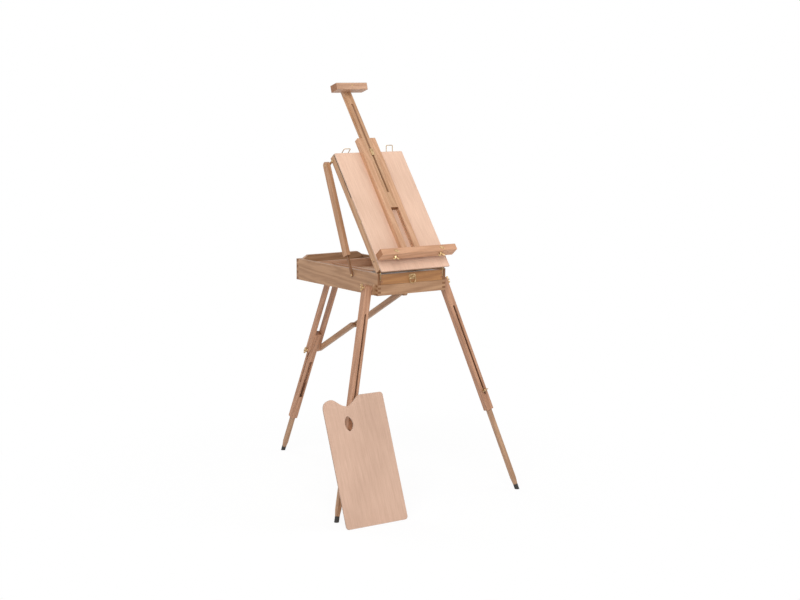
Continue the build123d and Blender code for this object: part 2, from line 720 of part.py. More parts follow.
# Sliding rods of the front legs, their clamp screws and rubber feet
front_rod = rod(rod_top, leg_reach)
front_rod -= Pos(0, 0, -leg_clamp_at) * cylinder_along(
    "y", leg_bolt_radius + turning_clearance, -leg_size, rod_size / 4
)
rubber = rubber_foot(leg_reach) - rod(rod_top, leg_reach)
save("front_rod_right", leg_place * front_rod)
save("front_rod_left", mirrored(leg_place * front_rod))
foot_right = foot_cut(leg_place * rubber)
save("front_foot_right", foot_right)
save("front_foot_left", mirrored(foot_right))
clamp_screw = Pos(0, -half_leg - wing_seat_gap, -leg_clamp_at) * Rot(90, 0, 0) * wing(
    shank_radius=leg_bolt_radius, shank_length=half_leg
)
clamp_screw = leg_place * clamp_screw
save("rod_wing_screw_right", clamp_screw)
save("rod_wing_screw_left", mirrored(clamp_screw))

# Block under the back of the box that the rear leg's rails straddle
rear_block_half = rear_gap / 2 - sliding_gap
rear_block_radius = rear_rail_width / 2
rear_block = block(
    (-rear_block_half, rear_block_half),
    (rear_pivot_y - rear_block_length / 2, rear_pivot_y + rear_block_length / 2),
    (rear_pivot.Z, height(0)),
)
rear_block += Pos(0, rear_pivot_y, rear_pivot.Z) * cylinder_along(
    "x", rear_block_radius, -rear_block_half, rear_block_half
)
rear_bolt_hole = cylinder_along("x", rear_bolt_radius + turning_clearance, -half_width, half_width)
rear_block -= Pos(*rear_pivot) * rear_bolt_hole

# Block that carries the front end of the brace
brace_block_x = brace_outer_x + brace_thickness + brace_side_gap
brace_block = block(
    (brace_block_x, brace_block_x + brace_block_width),
    (brace_front_y - brace_block_length / 2, brace_front_y + brace_block_length / 2),
    (brace_front.Z - brace_width / 2, height(bottom_h)),
)
brace_block = chamfer(brace_block.edges().filter_by(Axis.X).group_by(Axis.Z)[0], 6)
brace_block -= Pos(0, brace_front_y, brace_front.Z) * rear_bolt_hole
save("pivot_blocks", rear_block, brace_block)

# Bolts through those blocks
rear_rail_outer = rear_gap / 2 + rear_rail_thickness
head_seat = rear_rail_outer + sliding_gap
rear_bolt = cylinder_along("x", rear_bolt_radius, -head_seat, head_seat)
rear_bolt_head = cylinder_along("x", bolt_head_radius, head_seat, head_seat + bolt_head_thickness)
rear_bolt += [rear_bolt_head, mirrored(rear_bolt_head)]
brace_bolt = cylinder_along(
    "x", rear_bolt_radius, brace_outer_x - sliding_gap, brace_block_x + brace_block_width
)
brace_bolt += cylinder_along(
    "x", bolt_head_radius, brace_outer_x - sliding_gap - bolt_head_thickness, brace_outer_x - sliding_gap
)
rear_bolt = Pos(*rear_pivot) * rear_bolt
save("pivot_bolts", rear_bolt, Pos(*brace_front) * brace_bolt, pivot_bolt, mirrored(pivot_bolt))

# Rear leg: two rails on the pivot bolt
rail_half_width = rear_rail_width / 2
rail_x = (rear_gap / 2, rear_rail_outer)
rail_end = -rear_rail_length + rail_half_width
rear_rail = block(rail_x, (-rail_half_width, rail_half_width), (rail_end, 0))
for place in (0, rail_end):
    rear_rail += Pos(0, 0, place) * cylinder_along("x", rail_half_width, *rail_x)
rear_rail -= rear_bolt_hole
rear_rail -= Pos(0, 0, -rear_clamp_at) * rear_bolt_hole
rear_rail = rear_place * rear_rail
save("rear_rails", rear_rail, mirrored(rear_rail))

# Its clamp bolt, which also carries the rear end of the brace, and the wing nut
clamp_head_x = brace_inner_x + brace_thickness + brace_side_gap
clamp_bolt = cylinder_along("x", rear_bolt_radius, -rear_rail_outer - wing_height, clamp_head_x)
clamp_bolt += cylinder_along("x", bolt_head_radius, clamp_head_x, clamp_head_x + bolt_head_thickness)
clamp_place = rear_place * Pos(0, 0, -rear_clamp_at)
save("rear_clamp_bolt", clamp_place * clamp_bolt)
rear_nut = Pos(-rear_rail_outer - wing_seat_gap, 0, 0) * Rot(0, -90, 0) * wing(
    bore_radius=rear_bolt_radius + turning_clearance
)
save("rear_wing_nut", clamp_place * rear_nut)

# Lower section: slides between the rails, slotted across for the bolt and open in front
section_half = rear_section_width / 2
section_deep = rear_section_depth / 2
section = block(
    (-section_half, section_half), (-section_deep, section_deep), (-rear_section_end, -rear_section_top)
)
section = eased(section, Axis.Z, 1.5)
cross_slot = rear_bolt_radius + 0.4
cross_start = rear_clamp_at - rear_bolt_radius - 8
cross_end = rear_clamp_at + rear_travel + rear_bolt_radius + 6
section -= block((-section_half, section_half), (-cross_slot, cross_slot), (-cross_end, -cross_start))
rear_slot_half = rear_slot_width / 2
front_slot = (-rear_slot_end, -rear_slot_start)
section -= block((-rear_slot_half, rear_slot_half), (-section_deep, -cross_slot), front_slot)
section -= block((-half_bore, half_bore), (-half_bore, half_bore), (-rear_section_end, -rear_bore_start))
save("rear_section", rear_place * section)

# Its sliding rod and rubber foot
rear_rubber = rubber_foot(rear_reach) - rod(rear_rod_top, rear_reach)
save("rear_rod", rear_place * rod(rear_rod_top, rear_reach))
save("rear_foot", foot_cut(rear_place * rear_rubber))


def brace_link(x_low, length, end_radius):
    """A flat strut with rounded ends and a bolt hole at each, running down local Z from its first hole."""
    x_range = (x_low, x_low + brace_thickness)
    link = block(x_range, (-end_radius, end_radius), (-length, 0))
    for place in (0, -length):
        link += Pos(0, 0, place) * cylinder_along("x", end_radius, *x_range)
        link -= Pos(0, 0, place) * rear_bolt_hole
    return link


# Folding brace: the upper link hangs from the box, the lower one from the rear leg's clamp bolt
brace_place = Plane(origin=brace_front, x_dir=(1, 0, 0), z_dir=-brace_direction).location
upper_link = brace_link(brace_outer_x, brace_upper_length, brace_width / 2)
lower_link = Pos(0, 0, -brace_upper_length) * brace_link(brace_inner_x, brace_lower_length, brace_width / 2)
save("brace_upper", brace_place * upper_link)
save("brace_lower", brace_place * lower_link)
knee_start = brace_inner_x + brace_thickness + sliding_gap
knee_end = brace_outer_x + brace_thickness
knee = cylinder_along("x", rear_bolt_radius, knee_start, knee_end)
knee += cylinder_along("x", bolt_head_radius, knee_start, brace_outer_x)
knee += cylinder_along("x", bolt_head_radius, knee_end, knee_end + bolt_head_thickness)
save("brace_knee_bolt", brace_place * Pos(0, 0, -brace_upper_length) * knee)

# Palette: a plywood sheet with a wavy top and a lens-shaped thumb hole
right = palette_left + palette_width
crest = right - palette_crest * palette_width
edge_top = palette_height
edge_left = edge_top - palette_drop


def edge_point(share, down):
    """A place on the palette's wavy top, by its share of the width from the right."""
    return (right - share * palette_width, edge_top - down)


outline = [
    Line((palette_left + palette_corner, 0), (right - palette_corner, 0)),
    RadiusArc((right - palette_corner, 0), (right, palette_corner), -palette_corner),
    Line((right, palette_corner), (right, edge_top - palette_corner)),
    RadiusArc((right, edge_top - palette_corner), (right - palette_corner, edge_top), -palette_corner),
    Line((right - palette_corner, edge_top), (crest, edge_top)),
    Spline(
        (crest, edge_top),
        edge_point(0.46, palette_dip / 3),
        edge_point(0.62, palette_dip),
        edge_point(0.74, palette_dip * 0.63),
        edge_point(0.84, palette_dip / 5),
        edge_point(0.925, palette_dip * 0.29),
        (palette_left, edge_left),
        tangents=[(-1, 0), (0, -1)],
    ),
    Line((palette_left, edge_left), (palette_left, palette_corner)),
    RadiusArc((palette_left, palette_corner), (palette_left + palette_corner, 0), -palette_corner),
]
palette_face = make_face(outline)
hole_x = palette_left + thumb_hole_in
hole_top = (hole_x, edge_top - thumb_hole_down)
hole_middle = edge_top - thumb_hole_down - thumb_hole_height / 2
hole_bottom = (hole_x, edge_top - thumb_hole_down - thumb_hole_height)
hole = make_face(
    [
        ThreePointArc(hole_top, (hole_x + thumb_hole_bulge, hole_middle), hole_bottom),
        ThreePointArc(hole_bottom, (hole_x - thumb_hole_back, hole_middle), hole_top),
    ]
)
palette = extrude(palette_face - hole, palette_thickness)
palette_plane = Plane(
    origin=(0, palette_foot_y, 0), x_dir=(1, 0, 0), z_dir=(0, -cos(palette_tilt), sin(palette_tilt))
)
save("palette", foot_cut(palette_plane.location * palette))

print("nodes", node_count)
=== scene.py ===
import json
from math import cos, pi, radians, sin

import bmesh
import bpy
from mathutils import Matrix, Vector


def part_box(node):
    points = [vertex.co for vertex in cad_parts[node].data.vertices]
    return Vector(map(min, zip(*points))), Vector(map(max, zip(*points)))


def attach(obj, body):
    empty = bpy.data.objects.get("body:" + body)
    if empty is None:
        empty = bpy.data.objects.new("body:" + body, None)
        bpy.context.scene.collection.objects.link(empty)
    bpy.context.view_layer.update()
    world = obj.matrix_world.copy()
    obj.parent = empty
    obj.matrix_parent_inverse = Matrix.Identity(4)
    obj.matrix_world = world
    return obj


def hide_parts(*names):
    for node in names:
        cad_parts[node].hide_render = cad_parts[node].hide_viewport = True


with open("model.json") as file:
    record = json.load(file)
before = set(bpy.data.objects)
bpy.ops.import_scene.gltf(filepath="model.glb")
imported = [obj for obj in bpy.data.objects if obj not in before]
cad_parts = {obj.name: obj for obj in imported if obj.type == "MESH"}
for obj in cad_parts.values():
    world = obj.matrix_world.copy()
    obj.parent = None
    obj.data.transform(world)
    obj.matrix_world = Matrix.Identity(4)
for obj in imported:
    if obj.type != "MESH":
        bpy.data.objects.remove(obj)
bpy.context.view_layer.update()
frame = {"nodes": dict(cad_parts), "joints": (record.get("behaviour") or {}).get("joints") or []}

# The studio: a pale floor under soft lamps, seen from the drawer's side of the easel.
# The camera stands a little higher than the mast's top clamp, in front of the box and left of it.
camera_place = (-3.4412, -5.1466, 1.5944)
camera_turn = radians(35.19)
camera_pitch = radians(-8.282)
camera_roll = 0.005
camera_sensor = 36.0
camera_lens = 74.34
floor_size = 40.0
floor_tone = 0.94
floor_white_near = 0.88
floor_near = 0.45
floor_far = 1.5
key_lamp = {"place": (-4.2, -5.0, 4.6), "size": 5.0, "power": 385.0}
fill_lamp = {"place": (5.0, -3.0, 3.2), "size": 5.0, "power": 115.0}
back_lamp = {"place": (-1.5, 5.5, 4.2), "size": 4.0, "power": 110.0}
room_light = 0.52
lamp_target = Vector((0, 0, 0.8))


def grey(value):
    """A grey as a shader's colour."""
    return (value, value, value, 1)


def plug(tree, node, inputs):
    """Give a shader node's inputs their values, or link them to the sockets that feed them."""
    for key, value in inputs.items():
        if isinstance(value, bpy.types.NodeSocket):
            tree.links.new(value, node.inputs[key])
        else:
            node.inputs[key].default_value = value


def add_node(tree, kind, inputs, **settings):
    """A new shader node with its settings and inputs."""
    made = tree.nodes.new("ShaderNode" + kind)
    for key, value in settings.items():
        setattr(made, key, value)
    plug(tree, made, inputs)
    return made


def calc(tree, operation, first, second=0.5):
    """A number worked out from one or two others."""
    return add_node(tree, "Math", {0: first, 1: second}, operation=operation).outputs[0]


def seen_directly(tree):
    """One where a ray sees the white studio itself: in the picture, a reflection or glass."""
    path = add_node(tree, "LightPath", {})
    seen = calc(tree, "MAXIMUM", path.outputs["Is Camera Ray"], path.outputs["Is Glossy Ray"])
    return calc(tree, "MAXIMUM", seen, path.outputs["Is Transmission Ray"])


camera_data = bpy.data.cameras.new("camera")
camera_data.sensor_width = camera_sensor
camera_data.lens = camera_lens
camera = bpy.data.objects.new("camera", camera_data)
camera.matrix_world = (
    Matrix.Translation(camera_place)
    @ Matrix.Rotation(-camera_turn, 4, "Z")
    @ Matrix.Rotation(pi / 2 + camera_pitch, 4, "X")
    @ Matrix.Rotation(camera_roll, 4, "Z")
)
bpy.context.scene.collection.objects.link(camera)
bpy.context.scene.camera = camera
bpy.context.scene.view_settings.view_transform = "Standard"

lamps = {"key_lamp": key_lamp, "fill_lamp": fill_lamp, "back_lamp": back_lamp}
for lamp_name, lamp in lamps.items():
    lamp_data = bpy.data.lights.new(lamp_name, "AREA")
    lamp_data.size = lamp["size"]
    lamp_data.energy = lamp["power"]
    lamp_object = bpy.data.objects.new(lamp_name, lamp_data)
    lamp_object.location = lamp["place"]
    lamp_aim = lamp_target - Vector(lamp["place"])
    lamp_object.rotation_euler = lamp_aim.to_track_quat("-Z", "Y").to_euler()
    bpy.context.scene.collection.objects.link(lamp_object)

room = bpy.data.worlds.new("room")
room.use_nodes = True
bpy.context.scene.world = room
room_tree = room.node_tree
room_tree.nodes.clear()
room_glow = add_node(room_tree, "Background", {"Color": grey(1), "Strength": room_light})
room_white = add_node(room_tree, "Background", {"Color": grey(1), "Strength": 1.0})
room_mix = add_node(
    room_tree,
    "MixShader",
    {0: seen_directly(room_tree), 1: room_glow.outputs[0], 2: room_white.outputs[0]},
)
add_node(room_tree, "OutputWorld", {0: room_mix.outputs[0]})

bpy.ops.object.select_all(action="DESELECT")
bpy.ops.mesh.primitive_plane_add(size=floor_size, location=(0, 0, 0))
floor = bpy.context.object
floor.name = "floor"
floor_paper = bpy.data.materials.new("floor_paper")
floor_paper.use_nodes = True
floor_tree = floor_paper.node_tree
floor_tree.nodes.clear()
floor_matt = add_node(floor_tree, "BsdfDiffuse", {"Color": grey(floor_tone)})
floor_white = add_node(floor_tree, "Emission", {"Color": grey(1), "Strength": 1.0})
floor_spot = add_node(floor_tree, "TexCoord", {})
floor_away = add_node(
    floor_tree, "VectorMath", {0: floor_spot.outputs["Object"]}, operation="LENGTH"
)
floor_fade = add_node(
    floor_tree,
    "MapRange",
    {0: floor_away.outputs["Value"], 1: floor_near, 2: floor_far, 3: floor_white_near, 4: 1.0},
    interpolation_type="SMOOTHSTEP",
)
floor_share = calc(floor_tree, "MULTIPLY", seen_directly(floor_tree), floor_fade.outputs[0])
floor_mix = add_node(
    floor_tree,
    "MixShader",
    {0: floor_share, 1: floor_matt.outputs[0], 2: floor_white.outputs[0]},
)
add_node(floor_tree, "OutputMaterial", {0: floor_mix.outputs[0]})
floor.data.materials.append(floor_paper)


# The box: beech side walls, finger-jointed at the corners to a low front rail and a back wall.
# A fence with sloping shoulders stands inside the back wall, and plywood closes the bottom.
wall_pale = "#ae8969"
wall_deep = "#8c684a"
ply_pale = "#d6b99e"
ply_deep = "#c09c7e"
bottom_layer = 0.0013
edge_round = 0.0009
band_stretch = 0.09
fibre_stretch = 0.02
fleck_stretch = 0.16
growth_per_metre = 60.0
rings_per_metre = 26.0
fibres_per_metre = 700.0
flecks_per_metre = 900.0
tones_per_metre = 6.0
pores_per_metre = 1400.0
fibre_depth = 0.0002
fleck_shares = (0.5, 0.5, 0.5)
glue_shares = (0.55, 0.55, 0.55)
end_dark_shares = (0.55, 0.43, 0.32)
end_pale_shares = (0.85, 0.70, 0.54)
thread_pale = (1.06, 1.06, 1.06, 1)
thread_dark = (0.90, 0.88, 0.86, 1)
tone_dark = (0.94, 0.92, 0.91, 1)
tone_pale = (1.05, 1.04, 1.04, 1)


def paint(code):
    """A colour as it is read off a screen, turned into the shader's own scale."""
    parts = [int(code[i : i + 2], 16) / 255 for i in (1, 3, 5)]
    return (*[c / 12.92 if c <= 0.04045 else ((c + 0.055) / 1.055) ** 2.4 for c in parts], 1.0)


def darker(colour, shares):
    """A colour with its red, green and blue cut to their shares."""
    return (*[share * part for share, part in zip(shares, colour)], 1.0)


def ramp(tree, source, low, high, start=grey(0), end=grey(1)):
    """A blend from one colour to another between two values of its source."""
    made = add_node(tree, "ValToRGB", {0: source})
    made.color_ramp.elements[0].position = low
    made.color_ramp.elements[0].color = start
    made.color_ramp.elements[1].position = high
    made.color_ramp.elements[1].color = end
    return made.outputs["Color"]


def blend(tree, share, first, second, mode="MIX"):
    """Two colours mixed by a share, which is a number or a socket."""
    made = add_node(tree, "MixRGB", {0: share, 1: first, 2: second}, blend_type=mode)
    return made.outputs[0]


def dot(tree, first, second):
    """The dot product of two vectors."""
    made = add_node(tree, "VectorMath", {0: first, 1: second}, operation="DOT_PRODUCT")
    return made.outputs["Value"]


def noise(tree, where, per_metre, detail):
    """Soft random clouds, so many to the metre."""
    made = add_node(tree, "TexNoise", {"Vector": where, "Scale": per_metre, "Detail": detail})
    return made.outputs["Fac"]


def drawn_out(tree, where, stretch, shift=0.0):
    """Coordinates that change slowly along Z, moved sideways to another part of the tree."""
    inputs = {"Vector": where, "Location": (shift, shift, 0), "Scale": (1, 1, stretch)}
    return add_node(tree, "Mapping", inputs).outputs[0]


def own_place(tree):
    """Object coordinates, so that a finish keeps to its piece."""
    return add_node(tree, "TexCoord", {}).outputs["Object"]


def squareness(tree, direction):
    """How squarely a face looks along a direction, from 0 to 1."""
    normal = add_node(tree, "TexCoord", {}).outputs["Normal"]
    return calc(tree, "ABSOLUTE", dot(tree, normal, tuple(Vector(direction).normalized())))


def soft_edges(tree):
    """The normal with its edges rounded, and a mask of those edges."""
    rounded = add_node(tree, "Bevel", {"Radius": edge_round}, samples=4).outputs[0]
    flat = add_node(tree, "NewGeometry", {}).outputs["Normal"]
    return rounded, ramp(tree, dot(tree, rounded, flat), 0.86, 0.995, grey(1), grey(0))


def new_finish(name):
    """An empty material with its node tree and its main shader."""
    material = bpy.data.materials.new(name)
    material.use_nodes = True
    return material, material.node_tree, material.node_tree.nodes["Principled BSDF"]


def timber(name, pale, deep, along, shift=0.0, figure=0.5, gloss=0.42):
    """Varnished beech: growth bands, fine fibres, short dark flecks and darker end grain."""
    material, tree, shader = new_finish(name)
    turn = Vector(along).rotation_difference(Vector((0, 0, 1))).to_euler()
    grain = add_node(tree, "Mapping", {"Vector": own_place(tree), "Rotation": turn}).outputs[0]
    board = drawn_out(tree, grain, band_stretch, shift)
    growth = noise(tree, board, growth_per_metre, 4.0)
    ring_inputs = {"Distortion": 7.0, "Detail": 3.0, "Detail Scale": 1.6}
    rings = add_node(
        tree,
        "TexWave",
        {"Vector": board, "Scale": rings_per_metre, **ring_inputs},
        bands_direction="DIAGONAL",
    )
    fibres = noise(tree, drawn_out(tree, grain, fibre_stretch), fibres_per_metre, 3.0)
    flecks = noise(tree, drawn_out(tree, grain, fleck_stretch), flecks_per_metre, 0.0)
    tone = noise(tree, grain, tones_per_metre, 1.0)
    pores = noise(tree, own_place(tree), pores_per_metre, 2.0)
    light, dark = paint(pale), paint(deep)
    middle = tuple((a + b) / 2 for a, b in zip(light, dark))
    bands = blend(tree, 0.5, growth, rings.outputs["Fac"])
    colour = blend(tree, figure, middle, ramp(tree, bands, 0.30, 0.72, light, dark))
    threads = ramp(tree, fibres, 0.34, 0.68, thread_pale, thread_dark)
    colour = blend(tree, 1.0, colour, threads, "MULTIPLY")
    flecked = ramp(tree, flecks, 0.66, 0.74, end=grey(0.5 * figure))
    colour = blend(tree, flecked, colour, darker(dark, fleck_shares))
    shade = ramp(tree, tone, 0.3, 0.7, tone_dark, tone_pale)
    colour = blend(tree, 1.0, colour, shade, "MULTIPLY")
    end_dark, end_pale = darker(dark, end_dark_shares), darker(dark, end_pale_shares)
    end_grain = ramp(tree, pores, 0.35, 0.65, end_dark, end_pale)
    colour = blend(tree, ramp(tree, squareness(tree, along), 0.82, 0.93), colour, end_grain)
    rounded, edges = soft_edges(tree)
    worn = ramp(tree, edges, 0.0, 1.0, end=grey(0.3))
    bump_inputs = {"Height": fibres, "Strength": 0.2, "Distance": fibre_depth}
    bump = add_node(tree, "Bump", {**bump_inputs, "Normal": rounded})
    plug(
        tree,
        shader,
        {
            "Base Color": blend(tree, worn, colour, light),
            "Roughness": ramp(tree, fibres, 0.3, 0.7, grey(gloss - 0.06), grey(gloss + 0.14)),
            "Normal": bump.outputs[0],
            "Specular IOR Level": 0.35,
        },
    )
    return material


def plywood(name, pale, deep, along, face, layer, gloss=0.55):
    """Sealed beech plywood: a quiet veneer on its face and thin layers along its cut edges."""
    material = timber(name, pale, deep, along, figure=0.16, gloss=gloss)
    tree = material.node_tree
    shader = tree.nodes["Principled BSDF"]
    depth = dot(tree, own_place(tree), tuple(Vector(face).normalized()))
    sheets = calc(tree, "SINE", calc(tree, "MULTIPLY", depth, 2 * pi / layer))
    core = ramp(tree, sheets, 0.1, 0.5, darker(paint(deep), glue_shares), paint(pale))
    veneer = ramp(tree, squareness(tree, face), 0.3, 0.7)
    shown = shader.inputs["Base Color"].links[0].from_socket
    plug(tree, shader, {"Base Color": blend(tree, veneer, core, shown)})
    return material


def dress(material, *names):
    """Give a finish to parts of the model."""
    for name in names:
        mesh = frame["nodes"][name].data
        mesh.materials.clear()
        mesh.materials.append(material)


side_wall_beech = timber("side_wall_beech", wall_pale, wall_deep, (0, 1, 0))
dress(side_wall_beech, "side_wall_right", "side_wall_left")
cross_wall_beech = timber("cross_wall_beech", wall_pale, wall_deep, (1, 0, 0), shift=0.31)
dress(cross_wall_beech, "front_rail", "back_wall", "back_fence")
bottom_ply = plywood("bottom_ply", ply_pale, ply_deep, (0, 1, 0), (0, 0, 1), bottom_layer)
dress(bottom_ply, "bottom_panel")
dress(timber("runner_beech", wall_pale, wall_deep, (0, 1, 0), shift=0.12), "drawer_runners")


# Hinge plates: brass plates let into the tops of the side walls, with the pins of the lid.
# All of the easel's fittings are the same yellow brass, rubbed bright along their edges.
brass_bright = "#d2b48a"
brass_dull = "#a0825a"
scratch_stretch = 0.05
scratches_per_metre = 2600.0
scratch_depth = 0.0001


def metal(name, bright, dull, smooth=0.26, patches_per_metre=170.0):
    """Sheet or cast metal with a soft, patchy polish and fine scratches."""
    material, tree, shader = new_finish(name)
    place = own_place(tree)
    patches = noise(tree, place, patches_per_metre, 4.0)
    scratches = noise(tree, drawn_out(tree, place, scratch_stretch), scratches_per_metre, 2.0)
    colour = ramp(tree, patches, 0.36, 0.62, paint(dull), paint(bright))
    rounded, edges = soft_edges(tree)
    bump_inputs = {"Height": scratches, "Strength": 0.12, "Distance": scratch_depth}
    bump = add_node(tree, "Bump", {**bump_inputs, "Normal": rounded})
    plug(
        tree,
        shader,
        {
            "Base Color": blend(tree, edges, colour, paint(bright)),
            "Roughness": ramp(tree, patches, 0.3, 0.7, grey(smooth + 0.16), grey(smooth)),
            "Normal": bump.outputs[0],
            "Metallic": 1.0,
        },
    )
    return material


brass = metal("yellow_brass", brass_bright, brass_dull)
dress(brass, "hinge_plates_box", "lid_side_plates")


# The drawer: a finger-jointed beech tray on a plywood bottom, with zinc in its front compartment.
# Plain dividers stand on the bottom behind the zinc, and a brass ring hangs on its front.
drawer_pale = "#aa7b4c"
drawer_deep = "#8b5f39"
inner_pale = "#c4a288"
inner_deep = "#a47c60"
drawer_layer = 0.001
zinc_bright = "#c9c9c6"
zinc_dull = "#b4b5b3"
zinc_smooth = 0.42
zinc_patches_per_metre = 24.0
small_screw_radius = 0.0021
small_screw_height = 0.0009
ring_plate_thickness = 0.0012
plate_screw_out = 0.0108
plate_slot_slope = 0.7
dome_steps = ((0.90, 0.28), (0.80, 0.16), (0.60, 0.06))
slot_share = 0.28
head_round_share = 0.05

dress(timber("drawer_front_beech", drawer_pale, drawer_deep, (1, 0, 0), shift=0.17), "drawer_front")
dress(timber("drawer_back_beech", inner_pale, inner_deep, (1, 0, 0), shift=0.58), "drawer_back")
drawer_side_beech = timber("drawer_side_beech", inner_pale, inner_deep, (0, 1, 0), shift=0.43)
dress(drawer_side_beech, "drawer_sides", "drawer_dividers")
drawer_ply = plywood("drawer_ply", ply_pale, ply_deep, (1, 0, 0), (0, 0, 1), drawer_layer)
dress(drawer_ply, "drawer_bottom")
lining_zinc = metal("lining_zinc", zinc_bright, zinc_dull, zinc_smooth, zinc_patches_per_metre)
dress(lining_zinc, "drawer_lining")
dress(brass, "drawer_ring_plate", "drawer_ring")


joints = {joint["name"]: joint for joint in frame["joints"]}


def pivot_of(joint):
    """A point on a joint's axis."""
    return Vector(joints[joint]["pos_m"])


def axis_of(joint):
    """The direction that a joint slides along or turns about."""
    return Vector(joints[joint]["axis"])


def ready(*pieces):
    """Nothing selected but these pieces, the first of them active, for the next operator."""
    bpy.ops.object.select_all(action="DESELECT")
    for piece in pieces:
        piece.select_set(True)
    if pieces:
        bpy.context.view_layer.objects.active = pieces[0]


def put_away(*masters):
    """Remove pieces that were only needed to make others."""
    for master in masters:
        bpy.data.objects.remove(master)


def pick(piece, wanted):
    """Select, in edit mode, the faces of a piece that a test accepts."""
    bpy.ops.mesh.select_mode(type="FACE")
    bpy.ops.mesh.select_all(action="DESELECT")
    shape = bmesh.from_edit_mesh(piece.data)
    for face in shape.faces:
        if wanted(face):
            face.select_set(True)
    bmesh.update_edit_mesh(piece.data)


def worked(piece, kind, **settings):
    """Put a modifier on a piece and apply it."""
    ready(piece)
    modifier = piece.modifiers.new(kind.lower(), kind)
    for key, value in settings.items():
        setattr(modifier, key, value)
    bpy.ops.object.modifier_apply(modifier=modifier.name)


def standing(place, out, across=(1, 0, 0)):
    """The place of a fitting that sits at a point and points out, with its width across."""
    axis = Vector(out).normalized()
    side = Vector(across) - axis * axis.dot(Vector(across))
    side.normalize()
    turn = Matrix((side, axis.cross(side), axis)).transposed()
    return Matrix.Translation(place) @ turn.to_4x4()


def set_in(master, name, place, body, finish, slot_name, *stands_for):
    """A copy of a fitting with its own mesh, in its place on a body, with its finish. Its slot name
    is not used.
    """
    piece = bpy.data.objects.new(name, master.data.copy())
    piece.data.name = name
    bpy.context.scene.collection.objects.link(piece)
    piece.data.transform(place)
    piece.data.materials.clear()
    piece.data.materials.append(finish)
    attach(piece, body)
    if stands_for:
        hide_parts(*stands_for)
    return piece


def set_brass(master, name, place, body, *stands_for):
    """A copy of a brass fitting, in its place on a body."""
    return set_in(master, name, place, body, brass, "brass", *stands_for)


def slotted_head(radius, rise):
    """A round screw head: a low dome drawn up in three steps, with a slot sawn across it."""
    ready()
    bpy.ops.mesh.primitive_cylinder_add(
        vertices=32, radius=radius, depth=rise / 2, location=(0, 0, rise / 4)
    )
    head = bpy.context.object
    bpy.ops.object.mode_set(mode="EDIT")
    pick(head, lambda face: face.normal.z > 0.9)
    for share, step in dome_steps:
        bpy.ops.mesh.extrude_region_move(TRANSFORM_OT_translate={"value": (0, 0, step * rise)})
        bpy.ops.transform.resize(value=(share, share, 1))
    bpy.ops.object.mode_set(mode="OBJECT")
    ready()
    bpy.ops.mesh.primitive_cube_add(size=1, location=(0, 0, rise))
    saw = bpy.context.object
    saw.scale = (2.4 * radius, slot_share * radius, 1.1 * rise)
    worked(head, "BOOLEAN", operation="DIFFERENCE", object=saw, solver="EXACT")
    put_away(saw)
    worked(head, "BEVEL", width=head_round_share * radius, segments=2, limit_method="ANGLE")
    ready(head)
    bpy.ops.object.shade_smooth_by_angle(angle=radians(40))
    return head


small_screw = slotted_head(small_screw_radius, small_screw_height)
plate_front_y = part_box("drawer_front")[0].y - ring_plate_thickness
plate_middle_z = pivot_of("drawer_ring_swing").z
for side, name in ((1, "right"), (-1, "left")):
    screw_at = (side * plate_screw_out, plate_front_y, plate_middle_z)
    place = standing(screw_at, (0, -1, 0), (side, 0, plate_slot_slope))
    set_brass(small_screw, "ring_plate_screw_" + name, place, "drawer")


# The lid: a pale plywood board on two side bars and two cross rails, leaning back on its hinges.
# Two grooved guide rails on its face carry the mast, and straps on its bars carry the stays.
board_pale = "#dfc0aa"
board_deep = "#cfab94"
board_layer = 0.0016
bar_pale = "#bd9878"
bar_deep = "#9a7353"
guide_pale = "#cda383"
guide_deep = "#b38765"
# Painted shade: these near-black colours go on the strip in the slot at each side of the lid, in
# place of the shade inside that slot.
slot_shade_dark = "#1d1a18"
slot_shade_pale = "#37322d"
slot_shade_clouds_per_metre = 420.0
slot_shade_naps_per_metre = 3200.0
slot_shade_nap_depth = 0.0004

lid_up = axis_of("mast_slide")
lid_out = axis_of("mast_nut_turn")
dress(plywood("board_ply", board_pale, board_deep, lid_up, lid_out, board_layer), "lid_board")
dress(timber("lid_bar_beech", bar_pale, bar_deep, lid_up, shift=0.08), "lid_side_bars")
dress(timber("lid_rail_beech", bar_pale, bar_deep, (1, 0, 0), shift=0.26), "lid_cross_rails")
dress(timber("guide_beech", guide_pale, guide_deep, lid_up, shift=0.35), "guide_rails")

hinge_setback = 0.0119
lid_thickness = 0.0337
board_foot = pivot_of("lid_hinge") - lid_up * hinge_setback + lid_out * lid_thickness
lid_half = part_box("lid_board")[1].x
stay_head_along = 0.4917
strap_proud = 0.002
strap_screw_back = 0.0262
strap_screw_shift = 0.0022
strap_screw_step = 0.005
slot_shade_start = 0.318
slot_shade_end = 0.504
slot_shade_front = 0.0052
slot_shade_depth = 0.0040
slot_shade_width = 0.0075
slot_shade_sunk = 0.0012
slot_shade_round = 0.0006


def on_lid(x, along, out):
    """A point of the lid: its place across, how far up the board, and how far off its face."""
    return Vector((x, 0, 0)) + board_foot + lid_up * along + lid_out * out


def painted_slot_shade(name):
    """Painted shade for a slot: a near-black sheet with a soft nap over cloudy black."""
    material, tree, shader = new_finish(name)
    clouds = noise(tree, own_place(tree), slot_shade_clouds_per_metre, 4.0)
    nap = noise(tree, own_place(tree), slot_shade_naps_per_metre, 2.0)
    bump = add_node(tree, "Bump", {"Height": nap, "Strength": 0.5, "Distance": slot_shade_nap_depth})
    colour = ramp(tree, clouds, 0.35, 0.7, paint(slot_shade_dark), paint(slot_shade_pale))
    inputs = {"Base Color": colour, "Roughness": 0.95, "Normal": bump.outputs[0]}
    plug(tree, shader, inputs)
    return material
